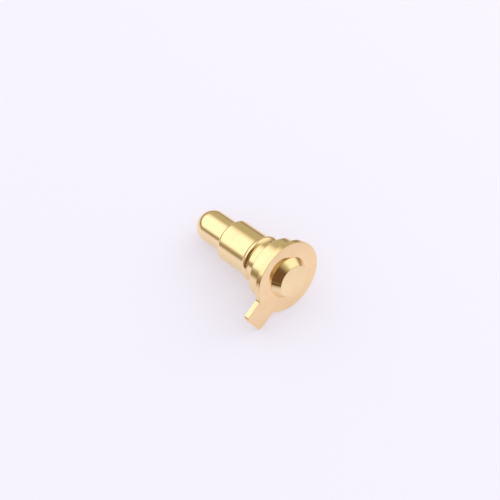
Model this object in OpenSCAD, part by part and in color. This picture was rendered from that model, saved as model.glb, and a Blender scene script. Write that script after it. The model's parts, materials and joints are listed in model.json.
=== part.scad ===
// A spring-loaded contact pin with a stamped solder lug riveted to its tail.
// Every piece is drawn about the pin's own axis: z = 0 is the rear face of the lug and +z runs
// towards the tip. lying() then lays the finished pin on a flat surface at z = 0.

/* [Plunger] */
// Diameter of the plunger's shaft and of its round nose
plunger_d = 1.5; // [1.2:0.05:1.6]
// How far the plunger sticks out of the barrel
plunger_out = 2.0; // [1.4:0.1:2.6]
// How far the plunger can be pressed in
stroke = 1.2; // [0.9:0.05:1.3]
// Length of the wide rear part that runs in the bore
shoulder_len = 0.9; // [0.6:0.05:1.1]
// Wall of the plunger round the hollow that takes the spring
plunger_wall = 0.22; // [0.16:0.01:0.26]
// Depth of that hollow
hollow_depth = 0.9; // [0.8:0.05:1.4]

/* [Barrel] */
// Outside diameter of the barrel
barrel_d = 2.0; // [1.95:0.05:2.4]
// Length from the flange's front face to the mouth
barrel_len = 2.7; // [2.5:0.1:3.4]
// Wall of the barrel
barrel_wall = 0.15; // [0.12:0.01:0.18]
// Thickness of the lip crimped over the plunger's shoulder
lip_t = 0.2; // [0.15:0.01:0.25]
// Height of the retaining bead above the barrel
bead_h = 0.1; // [0.05:0.01:0.14]
// Width of the bead along the axis
bead_w = 0.34; // [0.3:0.02:0.44]
// Gap between the flange and the bead, where a thin board sits
board_gap = 0.63; // [0.5:0.01:0.8]

/* [Flange and rivet] */
// Diameter of the flange
flange_d = 2.9; // [2.7:0.05:3.1]
// Thickness of the flange
flange_t = 0.7; // [0.6:0.05:0.9]
// Rounding of the flange's edges
flange_round = 0.06; // [0.03:0.01:0.1]
// Diameter of the post that passes through the lug
post_d = 1.2; // [1.0:0.05:1.4]
// Diameter of the rivet head where it bears on the lug
head_root_d = 1.97; // [1.8:0.01:2.2]
// Diameter of the rivet head's flat end
head_end_d = 1.53; // [1.4:0.01:1.7]
// Height of the rivet head
head_h = 0.39; // [0.3:0.01:0.5]

/* [Solder lug] */
// Thickness of the sheet
lug_t = 0.25; // [0.2:0.01:0.3]
// Diameter of the lug's ring
lug_d = 3.4; // [3.2:0.05:3.8]
// Width of the tail
tail_w = 1.2; // [0.9:0.05:1.4]
// Distance from the pin's axis to the end of the tail
tail_reach = 2.6; // [2.3:0.05:3.2]
// Radius of the tail's corners
tail_corner = 0.2; // [0.1:0.01:0.3]
// Fillet where the tail leaves the ring
tail_fillet = 0.25; // [0.1:0.01:0.4]

/* [Spring] */
// Diameter of the spring wire
wire_d = 0.13; // [0.1:0.01:0.14]
// Number of turns, with one closed turn at each end
spring_turns = 9; // [6:1:10]
// Room left behind the plunger when it is pressed right in
spring_room = 0.75; // [0.7:0.05:0.85]

/* [Clearances] */
// Gap round the plunger's shaft in the crimped mouth
mouth_gap = 0.03; // [0.01:0.01:0.06]
// Gap round the plunger's shoulder in the bore
bore_gap = 0.02; // [0.01:0.005:0.05]
// Gap round the spring in the plunger's hollow
spring_gap = 0.06; // [0.04:0.01:0.1]
// Gap between each end of the spring and its seat
seat_gap = 0.005; // [0.002:0.001:0.02]

/* [Hidden] */
$fn = 96;

gold = [0.93, 0.76, 0.45];
steel = [0.72, 0.72, 0.70];

// Places along the axis
flange_front = lug_t + flange_t;
barrel_front = flange_front + barrel_len;
lip_inner = barrel_front - lip_t;
shoulder_back = lip_inner - shoulder_len;
hollow_end = shoulder_back + hollow_depth;
bead_z = flange_front + board_gap + bead_w / 2;
bore_floor = shoulder_back - stroke - spring_room;

// Radii
plunger_r = plunger_d / 2;
barrel_r = barrel_d / 2;
bore_r = barrel_r - barrel_wall;
shoulder_r = bore_r - bore_gap;
mouth_r = plunger_r + mouth_gap;
hollow_r = plunger_r - plunger_wall;
nose_z = barrel_front + plunger_out - plunger_r;
shoulder_edge = 0.05;
bead_arc_r = (pow(bead_w / 2, 2) + pow(bead_h, 2)) / (2 * bead_h);
lug_r = lug_d / 2;

// Spring
coil_r = hollow_r - spring_gap - wire_d / 2;
spring_bottom = bore_floor + seat_gap + wire_d / 2;
spring_top = hollow_end - seat_gap - wire_d / 2;
wire_sides = 8;
turn_steps = 20;

// The pin lies on the lug's front edge, on one corner of the tail and on the nose.
// Nose-down tilt at which the nose, the mouth's edge or the flange would be the first to touch
nose_span = nose_z - lug_t;
nose_tilt = acos(plunger_r / norm([lug_r, nose_span])) - atan2(nose_span, lug_r);
lip_tilt = atan2(lug_r - barrel_r, lip_inner - lug_t);
flange_tilt = atan2(lug_r - flange_d / 2, flange_t);
tilt = min(nose_tilt, lip_tilt, flange_tilt);
// Turn about the axis that brings the tail's corner down to the same plane
corner_along = tail_reach - tail_corner;
corner_across = tail_w / 2 - tail_corner;
tail_turn = atan2(corner_across, corner_along)
    + acos((lug_r - tail_corner) / norm([corner_along, corner_across]));
axis_height = lug_r * cos(tilt) + lug_t * sin(tilt);
// Ends of the lying pin, from the point where its axis crosses the lug's rear face
tail_end_x = corner_along * sin(tail_turn) + corner_across * cos(tail_turn) + tail_corner;
tip_end_y = nose_z * cos(tilt) + plunger_r;
head_end_y = head_end_d / 2 * sin(tilt) + head_h * cos(tilt);

module lying() {
    translate([(tail_end_x - lug_r) / 2, (head_end_y - tip_end_y) / 2, axis_height])
        rotate([-90 - tilt, 0, 0])
            rotate([0, 0, tail_turn])
                children();
}

// What rounding an outer corner at (r, z) takes away; side is 1 for a front corner, -1 for a rear one
module corner_cut(r, z, radius, side) {
    difference() {
        translate([r - radius, z - radius])
            square(2 * radius);
        translate([r - radius, z - side * radius])
            circle(radius);
    }
}

// The turned barrel's half-section: rivet head, post, flange, wall, mouth and blind bore
module barrel_section() {
    head_end_r = head_end_d / 2;
    head_root_r = head_root_d / 2;
    post_r = post_d / 2;
    flange_r = flange_d / 2;
    difference() {
        polygon([
            [0, -head_h],
            [head_end_r, -head_h],
            [head_root_r, 0],
            [post_r, 0],
            [post_r, lug_t],
            [flange_r, lug_t],
            [flange_r, flange_front],
            [barrel_r, flange_front],
            [barrel_r, barrel_front],
            [mouth_r, barrel_front],
            [mouth_r, lip_inner],
            [bore_r, lip_inner],
            [bore_r, bore_floor],
            [0, bore_floor]
        ]);
        corner_cut(flange_r, lug_t, flange_round, -1);
        corner_cut(flange_r, flange_front, flange_round, 1);
        corner_cut(barrel_r, barrel_front, lip_t, 1);
    }
    intersection() {
        translate([barrel_r + bead_h - bead_arc_r, bead_z])
            circle(bead_arc_r);
        translate([barrel_r - barrel_wall / 2, bead_z - bead_w])
            square(2 * bead_w);
    }
}

module barrel() {
    color(gold)
        lying()
            rotate_extrude()
                barrel_section();
}

// The turned plunger's half-section: round nose, shaft, wide rear part and its hollow
module plunger_section() {
    polygon([
        [hollow_r, shoulder_back],
        [shoulder_r - shoulder_edge, shoulder_back],
        [shoulder_r, shoulder_back + shoulder_edge],
        [shoulder_r, lip_inner],
        [plunger_r, lip_inner],
        [plunger_r, nose_z],
        [0, nose_z],
        [0, hollow_end],
        [hollow_r, hollow_end]
    ]);
    intersection() {
        translate([0, nose_z])
            circle(plunger_r);
        translate([0, hollow_end])
            square([plunger_d, nose_z]);
    }
}

module plunger() {
    color(gold)
        lying()
            rotate_extrude()
                plunger_section();
}

// Ring and tail, with the tail along +y
module lug_outline() {
    fillet_x = tail_w / 2 + tail_fillet;
    fillet_y = sqrt(pow(lug_r + tail_fillet, 2) - pow(fillet_x, 2));
    difference() {
        union() {
            circle(lug_r);
            polygon([[0, 0], [fillet_x, fillet_y], [-fillet_x, fillet_y]]);
            translate([-tail_w / 2, 0])
                square([tail_w, corner_along]);
            translate([-corner_across, 0])
                square([2 * corner_across, tail_reach]);
            for (side = [-1, 1])
                translate([side * corner_across, corner_along])
                    circle(tail_corner);
        }
        for (side = [-1, 1])
            translate([side * fillet_x, fillet_y])
                circle(tail_fillet);
    }
}

module solder_lug() {
    color(gold)
        lying()
            difference() {
                linear_extrude(lug_t)
                    lug_outline();
                translate([0, 0, -1])
                    cylinder(d = post_d, h = lug_t + 2);
            }
}

// Height of the wire's centre after a share of all turns; the first and last turns are closed
function closed_share() = 1 / spring_turns;
function coil_height(share) =
    let (
        ends = closed_share(),
        open = spring_top - spring_bottom - 2 * wire_d
    )
    share < ends ? spring_bottom + wire_d * share / ends
    : share > 1 - ends ? spring_top - wire_d * (1 - share) / ends
    : spring_bottom + wire_d + open * (share - ends) / (1 - 2 * ends);

// One ring of points round the wire, square to the coil's circle
function wire_ring(share) =
    let (turn = 360 * spring_turns * share)
    [for (k = [0 : wire_sides - 1])
        let (
            a = 360 * k / wire_sides,
            r = coil_r + wire_d / 2 * cos(a)
        )
        [r * cos(turn), r * sin(turn), coil_height(share) + wire_d / 2 * sin(a)]];

module spring() {
    steps = spring_turns * turn_steps;
    points = [for (i = [0 : steps]) each wire_ring(i / steps)];
    sides = [for (i = [0 : steps - 1]) for (k = [0 : wire_sides - 1])
        let (next = (k + 1) % wire_sides)
        [i * wire_sides + k, (i + 1) * wire_sides + k, (i + 1) * wire_sides + next, i * wire_sides + next]];
    first = [for (k = [0 : wire_sides - 1]) k];
    last = [for (k = [wire_sides - 1 : -1 : 0]) steps * wire_sides + k];
    color(steel)
        lying()
            polyhedron(points, concat([first], sides, [last]), convexity = 20);
}

barrel();
solder_lug();
plunger();
spring();
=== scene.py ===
# A spring-loaded contact pin with a stamped solder lug, lying on a pale table.
# Everything is drawn about the pin's own axis in millimetres, then laid where the CAD model lies.
import json
import math
import bmesh
import bpy
from mathutils import Matrix, Vector


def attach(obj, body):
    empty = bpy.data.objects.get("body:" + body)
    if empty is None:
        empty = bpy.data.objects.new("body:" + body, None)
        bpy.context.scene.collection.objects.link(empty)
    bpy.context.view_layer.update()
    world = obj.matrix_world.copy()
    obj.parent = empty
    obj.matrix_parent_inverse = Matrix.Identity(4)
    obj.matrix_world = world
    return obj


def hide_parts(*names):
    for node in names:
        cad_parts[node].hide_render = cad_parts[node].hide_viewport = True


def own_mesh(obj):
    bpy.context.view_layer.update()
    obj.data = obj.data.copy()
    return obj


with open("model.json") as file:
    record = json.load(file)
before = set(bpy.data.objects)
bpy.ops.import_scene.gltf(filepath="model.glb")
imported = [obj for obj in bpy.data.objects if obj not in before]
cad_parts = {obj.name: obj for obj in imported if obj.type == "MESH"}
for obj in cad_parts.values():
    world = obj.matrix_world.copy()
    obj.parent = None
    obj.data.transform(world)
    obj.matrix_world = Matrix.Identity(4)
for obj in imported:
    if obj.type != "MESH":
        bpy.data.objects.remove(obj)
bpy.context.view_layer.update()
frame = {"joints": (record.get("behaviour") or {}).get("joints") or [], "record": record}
record = frame["record"]
scene = bpy.context.scene
mm = 0.001
tiny = 1e-6  # millimetres, taken as nothing
roundingStep = 9  # degrees between the points of a rounded corner

# Where the pin lies
tipFromLug = 5.65  # from the lug's rear face to the end of the nose
pinAxis = -Vector(frame["joints"][0]["axis"]).normalized()  # towards the tip
tipMount = next(m for m in record["mounts"] if m["name"] == "contact_tip")
pinStart = Vector(tipMount["pos_m"]) - pinAxis * tipFromLug * mm
across = Vector((1, 0, 0))
pinFrame = Matrix((across, pinAxis.cross(across), pinAxis)).transposed().to_4x4()
pinFrame.translation = pinStart
print("pin laid at", [round(v / mm, 3) for v in pinStart])


cameraSet = {
    "azimuth": -42.6,
    "elevation": 52.2,
    "frameWidth": 21.74,  # millimetres seen across the picture
    "lens": 400,
    "sensor": 36,
    "clip": (0.05, 20),  # shares of the camera's distance
    "pinRight": 1.657,  # the pin's rear face stands this far right of the middle
    "pinDown": 1.183,
}


def placeCamera(c):
    a, e = math.radians(c["azimuth"]), math.radians(c["elevation"])
    back = Vector((math.sin(a) * math.cos(e), -math.cos(a) * math.cos(e), math.sin(e)))
    right = Vector((math.cos(a), math.sin(a), 0))
    up = back.cross(right)
    aim = pinStart - right * c["pinRight"] * mm + up * c["pinDown"] * mm
    distance = c["frameWidth"] * mm * c["lens"] / c["sensor"]
    data = bpy.data.cameras.new("benchCamera")
    data.lens = c["lens"]
    data.sensor_width = c["sensor"]
    data.clip_start, data.clip_end = (distance * share for share in c["clip"])
    camera = bpy.data.objects.new("benchCamera", data)
    scene.collection.objects.link(camera)
    camera.location = aim + back * distance
    camera.rotation_mode = "QUATERNION"
    camera.rotation_quaternion = back.to_track_quat("Z", "Y")
    scene.camera = camera


placeCamera(cameraSet)
print("camera placed")


# Meshes, with the exact normal at every point
def softCorners(corners):
    # Turns (radius, place, rounding) corners of a closed section into points with their outward normals
    made = []
    count = len(corners)
    for i, (r, z, rounding) in enumerate(corners):
        here = Vector((r, z))
        before = Vector(corners[i - 1][:2])
        after = Vector(corners[(i + 1) % count][:2])
        into, out = (here - before).normalized(), (after - here).normalized()
        turn = math.atan2(into.x * out.y - into.y * out.x, into.dot(out))
        if rounding <= 0:
            side = out if r <= tiny and before.x <= tiny else into
            made.append((here, Vector((side.y, -side.x))))
            continue
        reach = rounding * math.tan(abs(turn) / 2)
        start = here - into * reach
        bend = 1 if turn > 0 else -1
        centre = start + Vector((-into.y, into.x)) * rounding * bend
        steps = max(3, math.ceil(abs(turn) / math.radians(roundingStep)))
        for k in range(steps + 1):
            a = turn * k / steps
            away = start - centre
            away = Vector((away.x * math.cos(a) - away.y * math.sin(a),
                           away.x * math.sin(a) + away.y * math.cos(a)))
            made.append((centre + away, away.normalized() * bend))
    return made


def meshPiece(name, points, normals, faces):
    mesh = bpy.data.meshes.new(name)
    mesh.from_pydata([pinFrame @ (Vector(p) * mm) for p in points], [], faces)
    mesh.validate()
    turned = pinFrame.to_3x3()
    mesh.shade_smooth()
    mesh.normals_split_custom_set_from_vertices([(turned @ Vector(n)).normalized() for n in normals])
    piece = bpy.data.objects.new(name, mesh)
    scene.collection.objects.link(piece)
    return piece


def latheSection(name, section, sides):
    # Sweeps a closed section about the pin's axis; points on the axis become single poles
    points, normals, rings, faces = [], [], [], []
    for p, n in section:
        if p.x < tiny:
            rings.append([len(points)])
            points.append((0, 0, p.y))
            normals.append((0, 0, 1 if n.y > 0 else -1))
            continue
        rings.append(list(range(len(points), len(points) + sides)))
        for k in range(sides):
            a = 2 * math.pi * k / sides
            points.append((p.x * math.cos(a), p.x * math.sin(a), p.y))
            normals.append((n.x * math.cos(a), n.x * math.sin(a), n.y))
    for i, ring in enumerate(rings):
        after = rings[(i + 1) % len(rings)]
        if len(ring) == 1 and len(after) == 1:
            continue
        for k in range(sides):
            j = (k + 1) % sides
            if len(ring) == 1:
                faces.append((ring[0], after[j], after[k]))
            elif len(after) == 1:
                faces.append((ring[k], ring[j], after[0]))
            else:
                faces.append((ring[k], ring[j], after[j], after[k]))
    return meshPiece(name, points, normals, faces)


# Nodes that the materials and the studio share
def feed(links, socket, value):
    # Links the socket to another node's output, or sets its own value
    if isinstance(value, bpy.types.NodeSocket):
        links.new(value, socket)
    else:
        socket.default_value = value


def spanNode(nodes, links, value, fromEnds, toEnds=(0, 1), smooth=False):
    node = nodes.new("ShaderNodeMapRange")
    if smooth:
        node.interpolation_type = "SMOOTHSTEP"
    for socket, end in zip(("From Min", "From Max", "To Min", "To Max"), (*fromEnds, *toEnds)):
        node.inputs[socket].default_value = end
    links.new(value, node.inputs["Value"])
    return node.outputs["Result"]


def colourMix(nodes, links, kind, factor, a, b):
    mix = nodes.new("ShaderNodeMix")
    mix.data_type = "RGBA"
    mix.blend_type = kind
    feed(links, mix.inputs["Factor"], factor)
    for socket, colour in (("A", a), ("B", b)):
        feed(links, mix.inputs[socket], (*colour, 1) if isinstance(colour, tuple) else colour)
    return mix.outputs["Result"]


def noiseNode(nodes, links, where, scale, detail, roughness=0.5):
    noise = nodes.new("ShaderNodeTexNoise")
    noise.inputs["Scale"].default_value = scale
    noise.inputs["Detail"].default_value = detail
    noise.inputs["Roughness"].default_value = roughness
    links.new(where, noise.inputs["Vector"])
    return noise.outputs["Fac"]


def toneRamp(nodes, links, value, places, colours):
    ramp = nodes.new("ShaderNodeValToRGB")
    for element, place, colour in zip(ramp.color_ramp.elements, places, colours):
        element.position = place
        element.color = (*colour, 1)
    links.new(value, ramp.inputs["Fac"])
    return ramp.outputs["Color"]


def pinCoordinates(nodes, links):
    # Millimetres along and around the pin's own axis, fixed to the piece
    place = nodes.new("ShaderNodeTexCoord")
    lay = nodes.new("ShaderNodeMapping")
    lay.vector_type = "TEXTURE"
    lay.inputs["Location"].default_value = pinStart
    lay.inputs["Rotation"].default_value = pinFrame.to_euler()
    lay.inputs["Scale"].default_value = (mm, mm, mm)
    links.new(place.outputs["Object"], lay.inputs["Vector"])
    return lay.outputs["Vector"]


def startMaterial(name):
    material = bpy.data.materials.new(name)
    material.use_nodes = True
    nodes, links = material.node_tree.nodes, material.node_tree.links
    return material, nodes, links, nodes["Principled BSDF"]


turnedGold = {
    "deepGold": (0.98, 0.74, 0.42),
    "paleGold": (1.0, 0.79, 0.47),
    "cloudScale": 0.9,
    "markScale": (0.6, 0.6, 26),  # close together along the axis, long round it
    "markTint": 0.12,
    "markDepth": 0.12,
    "roughness": (0.05, 0.10),
}
noseGold = dict(turnedGold, deepGold=(0.98, 0.76, 0.45), markDepth=0.08, roughness=(0.04, 0.08))
sheetGold = {
    "deepGold": (0.98, 0.71, 0.41),
    "paleGold": (1.0, 0.76, 0.45),
    "cloudScale": 1.6,
    "markScale": (1.2, 14, 14),
    "markTint": 0.10,
    "markDepth": 0.10,
    "roughness": (0.05, 0.09),
}
platingSet = {  # the same for all the gold
    "cloudDetail": 3,
    "cloudEnds": (0.32, 0.68),  # noise at which the tone is all deep, then all pale
    "markDetail": 4,
    "markRoughness": 0.6,
    "tintFrom": (0.35, 0.6),
    "tintTo": (0.7, 1.0),
    "glossFrom": (0.3, 0.7),
    "markHeight": 0.002,  # millimetres
}


def goldPlate(name, look):
    material, nodes, links, shader = startMaterial(name)
    shader.inputs["Metallic"].default_value = 1.0
    where = pinCoordinates(nodes, links)

    # Broad change of tone in the plating
    cloud = noiseNode(nodes, links, where, look["cloudScale"], platingSet["cloudDetail"])
    tone = toneRamp(nodes, links, cloud, platingSet["cloudEnds"], (look["deepGold"], look["paleGold"]))

    # Fine marks: rings from the lathe or streaks from the rolling mill
    stretch = nodes.new("ShaderNodeMapping")
    stretch.inputs["Scale"].default_value = look["markScale"]
    links.new(where, stretch.inputs["Vector"])
    marks = noiseNode(nodes, links, stretch.outputs["Vector"], 1.0,
                      platingSet["markDetail"], platingSet["markRoughness"])
    shade = spanNode(nodes, links, marks, platingSet["tintFrom"], platingSet["tintTo"])
    colour = colourMix(nodes, links, "MULTIPLY", look["markTint"], tone, shade)
    links.new(colour, shader.inputs["Base Color"])

    gloss = spanNode(nodes, links, marks, platingSet["glossFrom"], look["roughness"])
    links.new(gloss, shader.inputs["Roughness"])

    bump = nodes.new("ShaderNodeBump")
    bump.inputs["Strength"].default_value = look["markDepth"]
    bump.inputs["Distance"].default_value = platingSet["markHeight"] * mm
    links.new(marks, bump.inputs["Height"])
    links.new(bump.outputs["Normal"], shader.inputs["Normal"])
    return material


wireSteel = {
    "darkSteel": (0.42, 0.42, 0.41),
    "paleSteel": (0.60, 0.60, 0.58),
    "grainScale": 14,
    "grainDetail": 4,
    "roughness": (0.22, 0.4),
}


def drawnSteel(name, look):
    material, nodes, links, shader = startMaterial(name)
    shader.inputs["Metallic"].default_value = 1.0
    where = pinCoordinates(nodes, links)
    grain = noiseNode(nodes, links, where, look["grainScale"], look["grainDetail"])
    tone = toneRamp(nodes, links, grain, (0, 1), (look["darkSteel"], look["paleSteel"]))
    links.new(tone, shader.inputs["Base Color"])
    gloss = spanNode(nodes, links, grain, (0, 1), look["roughness"])
    links.new(gloss, shader.inputs["Roughness"])
    return material


def dress(piece, node, body, material):
    piece.data.materials.append(material)
    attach(piece, body)
    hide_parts(node)


# Barrel: radii, and places along the axis from the lug's rear face
barrelSet = {
    "headRoot": 0.985,
    "headEnd": 0.765,
    "headHeight": 0.39,
    "headEndRound": 0.025,
    "headRootRound": 0.012,
    "post": 0.6,
    "postRound": 0.004,
    "sheet": 0.25,
    "flange": 1.45,
    "flangeFront": 0.95,
    "flangeRound": 0.06,
    "flangeFillet": 0.03,
    "body": 1.0,
    "front": 3.65,
    "lipRound": 0.2,
    "lipInner": 3.45,
    "mouth": 0.78,
    "mouthRound": 0.012,
    "bore": 0.85,
    "boreRound": 0.01,
    "boreFloor": 0.6,
    "boreFillet": 0.02,
    "beadMiddle": 1.75,
    "beadHalf": 0.17,
    "beadSlope": 55,  # degrees from the axis where the bead leaves the barrel
    "beadRound": 0.192,
    "beadRoot": 0.04,
    "sides": 256,
}


def turnBarrel(b):
    peak = b["body"] + b["beadHalf"] * math.tan(math.radians(b["beadSlope"]))
    corners = [
        (0, -b["headHeight"], 0),
        (b["headEnd"], -b["headHeight"], b["headEndRound"]),
        (b["headRoot"], 0, b["headRootRound"]),
        (b["post"], 0, b["postRound"]),
        (b["post"], b["sheet"], b["postRound"]),
        (b["flange"], b["sheet"], b["flangeRound"]),
        (b["flange"], b["flangeFront"], b["flangeRound"]),
        (b["body"], b["flangeFront"], b["flangeFillet"]),
        (b["body"], b["beadMiddle"] - b["beadHalf"], b["beadRoot"]),
        (peak, b["beadMiddle"], b["beadRound"]),
        (b["body"], b["beadMiddle"] + b["beadHalf"], b["beadRoot"]),
        (b["body"], b["front"], b["lipRound"]),
        (b["mouth"], b["front"], b["mouthRound"]),
        (b["mouth"], b["lipInner"], b["boreRound"]),
        (b["bore"], b["lipInner"], b["boreRound"]),
        (b["bore"], b["boreFloor"], b["boreFillet"]),
        (0, b["boreFloor"], 0),
    ]
    return latheSection("barrelTurned", softCorners(corners), b["sides"])


barrel = turnBarrel(barrelSet)
dress(barrel, "barrel", "barrel", goldPlate("goldBarrel", turnedGold))
print("barrel turned")


# Plunger: its wide rear part and its hollow are inside the barrel
plungerSet = {
    "shaft": 0.75,
    "shoulder": 0.83,
    "shoulderBack": 2.55,
    "shoulderFront": 3.45,
    "backRound": 0.05,
    "frontRound": 0.01,
    "hollow": 0.53,
    "hollowEnd": 3.45,
    "hollowRound": 0.02,
    "noseCentre": 4.9,
    "noseSteps": 40,
    "sides": 256,
}


def turnPlunger(p):
    corners = [
        (0, p["hollowEnd"], 0),
        (p["hollow"], p["hollowEnd"], p["hollowRound"]),
        (p["hollow"], p["shoulderBack"], p["hollowRound"]),
        (p["shoulder"], p["shoulderBack"], p["backRound"]),
        (p["shoulder"], p["shoulderFront"], p["frontRound"]),
        (p["shaft"], p["shoulderFront"], p["frontRound"]),
        (p["shaft"], p["noseCentre"], 0),
        (0, p["noseCentre"], 0),
    ]
    section = softCorners(corners)[:-2]  # the round nose takes the place of the last two
    for k in range(p["noseSteps"] + 1):
        a = math.pi / 2 * k / p["noseSteps"]
        away = Vector((math.cos(a), math.sin(a)))
        section.append((Vector((0, p["noseCentre"])) + away * p["shaft"], away))
    return latheSection("plungerTurned", section, p["sides"])


plunger = turnPlunger(plungerSet)
dress(plunger, "plunger", "plunger", goldPlate("goldPlunger", noseGold))
print("plunger turned")


# Solder lug: a ring with a short tail
lugSet = {
    "thick": 0.25,
    "ring": 1.7,
    "ringStep": 1.5,  # degrees between points
    "hole": 0.6,
    "holeSides": 96,
    "tailHalf": 0.6,
    "tailReach": 2.6,
    "tailCorner": 0.2,
    "cornerStep": 9,
    "tailFillet": 0.25,
    "filletStep": 10,
    "tailTurn": 61.4,  # degrees about the pin's axis
    "rolledEdge": 0.010,  # rounding at the rear face
    "rolledSteps": 8,
    "frontEdge": 0.010,  # and at the flange
    "frontSteps": 4,
}


def lugOutline(s):
    # Points and outward normals, counter-clockwise, with the tail along +y
    outline = []

    def arc(cx, cy, radius, first, last, sign, step):
        count = max(2, math.ceil(abs(last - first) / step))
        for k in range(count + 1):
            a = math.radians(first + (last - first) * k / count)
            away = Vector((math.cos(a), math.sin(a)))
            outline.append((Vector((cx, cy)) + away * radius, away * sign))

    filletX = s["tailHalf"] + s["tailFillet"]
    filletY = math.sqrt((s["ring"] + s["tailFillet"]) ** 2 - filletX ** 2)
    touch = math.degrees(math.atan2(filletY, filletX))
    cornerX, cornerY = s["tailHalf"] - s["tailCorner"], s["tailReach"] - s["tailCorner"]
    arc(0, 0, s["ring"], 180 - touch, 360 + touch, 1, s["ringStep"])
    arc(filletX, filletY, s["tailFillet"], 180 + touch, 180, -1, s["filletStep"])
    arc(cornerX, cornerY, s["tailCorner"], 0, 90, 1, s["cornerStep"])
    arc(-cornerX, cornerY, s["tailCorner"], 90, 180, 1, s["cornerStep"])
    arc(-filletX, filletY, s["tailFillet"], 0, -touch, -1, s["filletStep"])
    kept = []
    for p, n in outline:
        if not kept or (p - kept[-1][0]).length > tiny:
            kept.append((p, n))
    return kept if (kept[0][0] - kept[-1][0]).length > tiny else kept[:-1]


def stampLug(s):
    outline = lugOutline(s)
    hole = []
    for k in range(s["holeSides"]):
        a = 2 * math.pi * k / s["holeSides"]
        away = Vector((math.cos(a), math.sin(a)))
        hole.append((away * s["hole"], -away))
    levels = []  # inset from the outline, height, and the normal's parts outward and upward
    for k in range(s["rolledSteps"] + 1):
        a = math.pi / 2 * k / s["rolledSteps"]
        levels.append((s["rolledEdge"] * (1 - math.sin(a)),
                       s["rolledEdge"] * (1 - math.cos(a)),
                       math.sin(a), -math.cos(a)))
    for k in range(s["frontSteps"] + 1):
        a = math.pi / 2 * k / s["frontSteps"]
        levels.append((s["frontEdge"] * (1 - math.cos(a)),
                       s["thick"] - s["frontEdge"] * (1 - math.sin(a)),
                       math.cos(a), math.sin(a)))
    points, normals, faces = [], [], []

    def walls(loop, flip):
        rings = []
        for inset, z, outward, upward in levels:
            rings.append(list(range(len(points), len(points) + len(loop))))
            for p, n in loop:
                points.append((*(p - n * inset), z))
                normals.append((*(n * outward), upward))
        for low, high in zip(rings, rings[1:]):
            for k in range(len(loop)):
                j = (k + 1) % len(loop)
                quad = (low[k], low[j], high[j], high[k])
                faces.append(quad[::-1] if flip else quad)
        return rings[0], rings[-1]

    outerLow, outerHigh = walls(outline, False)
    holeLow, holeHigh = walls(hole, True)
    turn = Matrix.Rotation(math.radians(s["tailTurn"]), 3, "Z")
    points = [tuple(turn @ Vector(p)) for p in points]
    normals = [tuple(turn @ Vector(n)) for n in normals]

    # The two flat faces, filled between the outline and the hole
    for outer, inner, down in ((outerLow, holeLow, True), (outerHigh, holeHigh, False)):
        flat = bmesh.new()
        ring = [flat.verts.new(points[i]) for i in outer]
        bore = [flat.verts.new(points[i]) for i in inner]
        index = dict(zip(ring + bore, outer + inner))
        edges = []
        for loop in (ring, bore):
            for k in range(len(loop)):
                edges.append(flat.edges.new((loop[k], loop[(k + 1) % len(loop)])))
        bmesh.ops.triangle_fill(flat, edges=edges, use_beauty=True, normal=(0, 0, -1 if down else 1))
        for face in flat.faces:
            corners = [index[v] for v in face.verts]
            up = face.normal.z > 0
            faces.append(tuple(reversed(corners)) if up == down else tuple(corners))
        flat.free()
    return meshPiece("lugStamped", points, normals, faces)


lug = stampLug(lugSet)
dress(lug, "solder_lug", "barrel", goldPlate("goldLug", sheetGold))
print("lug stamped")


# Spring, between the bottom of the bore and the plunger's hollow
springSet = {
    "wire": 0.13,  # thickness of the wire
    "turns": 9,
    "coil": 0.405,  # from the axis to the middle of the wire
    "bottom": 0.605,
    "top": 3.445,
    "stroke": 1.2,  # the plunger's travel
    "stepsPerTurn": 48,
    "wireSides": 14,
}


def windSpring(s):
    # The first and last turns are closed, the rest are open
    low, high = s["bottom"] + s["wire"] / 2, s["top"] - s["wire"] / 2
    ends = 1 / s["turns"]

    def height(share):
        if share < ends:
            return low + s["wire"] * share / ends
        if share > 1 - ends:
            return high - s["wire"] * (1 - share) / ends
        return low + s["wire"] + (high - low - 2 * s["wire"]) * (share - ends) / (1 - 2 * ends)

    count, sides = s["turns"] * s["stepsPerTurn"], s["wireSides"]
    points, normals, faces = [], [], []
    for i in range(count + 1):
        turn = 2 * math.pi * s["turns"] * i / count
        out = Vector((math.cos(turn), math.sin(turn), 0))
        centre = out * s["coil"] + Vector((0, 0, height(i / count)))
        for k in range(sides):
            a = 2 * math.pi * k / sides
            away = out * math.cos(a) + Vector((0, 0, math.sin(a)))
            points.append(centre + away * s["wire"] / 2)
            normals.append(away)
    for i in range(count):
        for k in range(sides):
            j = (k + 1) % sides
            faces.append((i * sides + k, (i + 1) * sides + k, (i + 1) * sides + j, i * sides + j))
    faces.append(tuple(range(sides)))
    faces.append(tuple(count * sides + k for k in reversed(range(sides))))
    return meshPiece("springWound", points, normals, faces)


spring = windSpring(springSet)
dress(spring, "spring", "barrel", drawnSteel("springSteel", wireSteel))
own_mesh(spring)
print("spring wound")


# Table: a pale cloth; for the metal only, painted shade darkens its far part and a painted dark
# reflection stands for the dark place beside the camera
tableSet = {
    "half": 400,
    "squares": 8,
    "cloth": (0.865, 0.845, 0.915),
    "pale": (0.945, 0.915, 0.995),  # what the camera and the metal see where nothing shades it
    "glow": 0.45,  # share of that which no shadow reaches
    "far": (0.36, 0.31, 0.21),  # painted shade on the far part of the table, seen in the metal only
    "farPlace": (0.6, -0.6),  # middle of the near part
    "nearEnds": 4.5,
    "farStarts": 12.5,
    "shade": (0.13, 0.075, 0.035),  # painted dark reflection: a dark patch painted on the table, seen in the metal only, for what stands dark beside the camera
    "shadePlace": (-24.0, -11.0),
    "shadeReach": (14.0, 24.0),  # full inside the first, gone at the second
}


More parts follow.
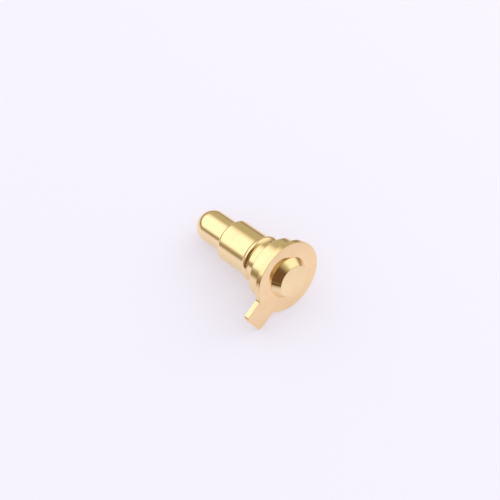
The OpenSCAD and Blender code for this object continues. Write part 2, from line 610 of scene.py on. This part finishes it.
def layTable(t):
    sheet = bmesh.new()
    bmesh.ops.create_grid(sheet, x_segments=t["squares"], y_segments=t["squares"], size=t["half"] * mm)
    mesh = bpy.data.meshes.new("table")
    sheet.to_mesh(mesh)
    sheet.free()
    table = bpy.data.objects.new("table", mesh)
    scene.collection.objects.link(table)
    material, nodes, links, shader = startMaterial("tablePale")
    shader.inputs["Roughness"].default_value = 1.0
    shader.inputs["Specular IOR Level"].default_value = 0.0
    rays = nodes.new("ShaderNodeLightPath")
    place = nodes.new("ShaderNodeTexCoord")

    def worked(operation, first, second):
        node = nodes.new("ShaderNodeMath")
        node.operation = operation
        feed(links, node.inputs[0], first)
        feed(links, node.inputs[1], second)
        return node.outputs["Value"]

    def patch(x, y, first, last):
        # Mask of a patch of painted shade: 0 at the first distance from the point, 1 at the last, and
        # only where metal reflects it
        away = nodes.new("ShaderNodeVectorMath")
        away.operation = "DISTANCE"
        away.inputs[1].default_value = (x * mm, y * mm, 0)
        links.new(place.outputs["Object"], away.inputs[0])
        reach = spanNode(nodes, links, away.outputs["Value"], (first * mm, last * mm), smooth=True)
        return worked("MULTIPLY", reach, rays.outputs["Is Glossy Ray"])

    # painted shade on the table that only glossy rays see: its far part and a patch for the dark place
    # beside the camera
    farPatch = patch(*t["farPlace"], t["nearEnds"], t["farStarts"])
    # painted dark reflection of the place beside the camera, painted on the table for the metal only
    paintedCameraShadeMask = patch(*t["shadePlace"], t["shadeReach"][1], t["shadeReach"][0])

    def withPaintedShade(colour):
        colour = colourMix(nodes, links, "MIX", farPatch, colour, t["far"])
        return colourMix(nodes, links, "MIX", paintedCameraShadeMask, colour, t["shade"])

    links.new(withPaintedShade(t["cloth"]), shader.inputs["Base Color"])
    glow = nodes.new("ShaderNodeEmission")
    links.new(withPaintedShade(t["pale"]), glow.inputs["Color"])
    seen = worked("MAXIMUM", rays.outputs["Is Camera Ray"], rays.outputs["Is Glossy Ray"])
    both = nodes.new("ShaderNodeMixShader")
    links.new(worked("MULTIPLY", seen, t["glow"]), both.inputs["Fac"])
    links.new(shader.outputs["BSDF"], both.inputs[1])
    links.new(glow.outputs["Emission"], both.inputs[2])
    links.new(both.outputs["Shader"], nodes["Material Output"].inputs["Surface"])
    mesh.materials.append(material)


layTable(tableSet)
print("table laid")


# Studio: an even light, a pale room that only the metal sees, and one soft lamp
studioSet = {
    "ambient": (1.0, 0.985, 1.0),  # the even light on everything
    "wall": (0.53, 0.50, 0.34),
    # towards, colour added, full inside, gone outside (degrees)
    "lobes": [
        ((-0.35, 0.75, 0.56), (0.80, 0.82, 0.88), 20, 52),
        ((0.75, -0.05, 0.66), (0.62, 0.64, 0.66), 14, 46),
    ],
    "cameraShade": ((-0.72, -0.45, 0.53), (0.16, 0.09, 0.045), 30, 60),  # laid over the wall
    "skirting": (0.50, 0.46, 0.37),  # dark strip where wall and bench meet
    "skirtingTop": (0.02, 0.21),  # sine of the height where it starts to fade and is gone
    "lampTowards": (0.82, -0.02, 0.57),
    "lampAway": 90,
    "lampWidth": 60,
    "lampPower": 0.012,
}


def lightStudio(s):
    world = bpy.data.worlds.new("studio")
    scene.world = world
    world.use_nodes = True
    nodes, links = world.node_tree.nodes, world.node_tree.links
    background = nodes["Background"]
    place = nodes.new("ShaderNodeTexCoord")
    rays = nodes.new("ShaderNodeLightPath")

    def towards(direction, inner, outer):
        # 1 within the inner angle of a direction, 0 beyond the outer one
        dot = nodes.new("ShaderNodeVectorMath")
        dot.operation = "DOT_PRODUCT"
        dot.inputs[1].default_value = Vector(direction).normalized()
        links.new(place.outputs["Generated"], dot.inputs[0])
        ends = (math.cos(math.radians(outer)), math.cos(math.radians(inner)))
        return spanNode(nodes, links, dot.outputs["Value"], ends, smooth=True)

    room = s["wall"]
    for direction, colour, inner, outer in s["lobes"]:
        room = colourMix(nodes, links, "ADD", towards(direction, inner, outer), room, colour)
    height = nodes.new("ShaderNodeSeparateXYZ")
    links.new(place.outputs["Generated"], height.inputs["Vector"])
    strip = spanNode(nodes, links, height.outputs["Z"], s["skirtingTop"][::-1], smooth=True)
    room = colourMix(nodes, links, "MIX", strip, room, s["skirting"])
    direction, colour, inner, outer = s["cameraShade"]
    room = colourMix(nodes, links, "MIX", towards(direction, inner, outer), room, colour)
    seen = colourMix(nodes, links, "MIX", rays.outputs["Is Glossy Ray"], s["ambient"], room)
    # Beyond the table's edge the camera sees the table's own colour
    seen = colourMix(nodes, links, "MIX", rays.outputs["Is Camera Ray"], seen, tableSet["pale"])
    links.new(seen, background.inputs["Color"])
    background.inputs["Strength"].default_value = 1.0

    lamp = bpy.data.lights.new("softKey", "AREA")
    lamp.shape = "DISK"
    lamp.size = s["lampWidth"] * mm
    lamp.energy = s["lampPower"]
    key = bpy.data.objects.new("softKey", lamp)
    scene.collection.objects.link(key)
    aim = Vector(s["lampTowards"]).normalized()
    key.location = pinStart + aim * s["lampAway"] * mm
    key.rotation_mode = "QUATERNION"
    key.rotation_quaternion = aim.to_track_quat("Z", "Y")
    key.visible_glossy = False


lightStudio(studioSet)
scene.view_settings.view_transform = "Standard"
print("studio lit")
